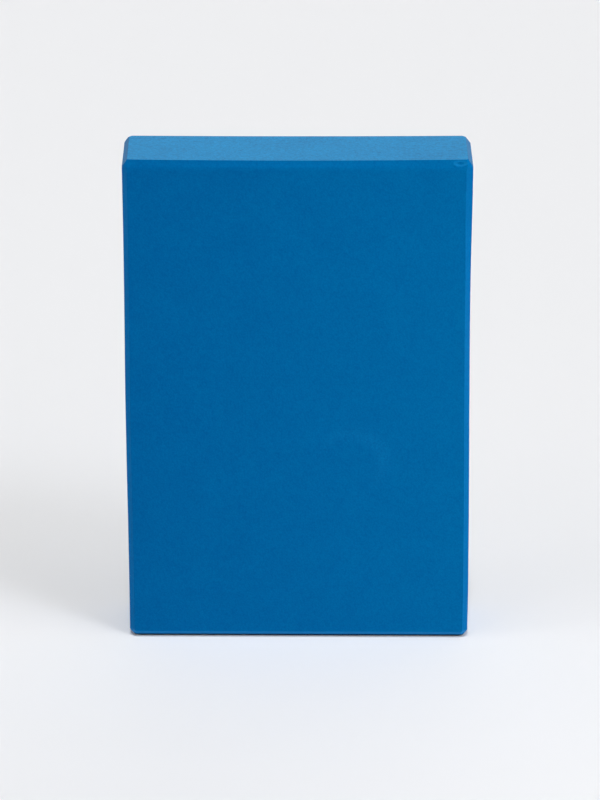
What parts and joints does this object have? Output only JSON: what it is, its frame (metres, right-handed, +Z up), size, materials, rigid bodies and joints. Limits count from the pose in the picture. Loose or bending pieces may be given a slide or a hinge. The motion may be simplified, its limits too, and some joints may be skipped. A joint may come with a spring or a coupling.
{
  "type": "foam yoga block",
  "caption": "Upright rectangular foam block, flat on every side, with narrow flat bevels along all its edges and a small nick in one top corner; a prop for yoga and stretching.",
  "frame": {"origin": "middle of the short end that the block stands on", "axes": "+Z up along the block's length; broad faces look along -Y (front) and +Y (back); +X to the right, seen from the front"},
  "size_m": [0.205, 0.05, 0.305],
  "materials": {
    "eva_foam": "matt closed-cell EVA foam, skived smooth, mid blue all through"
  },
  "bodies": {
    "root": {"foam_block": "eva_foam"}
  },
  "joints": []
}
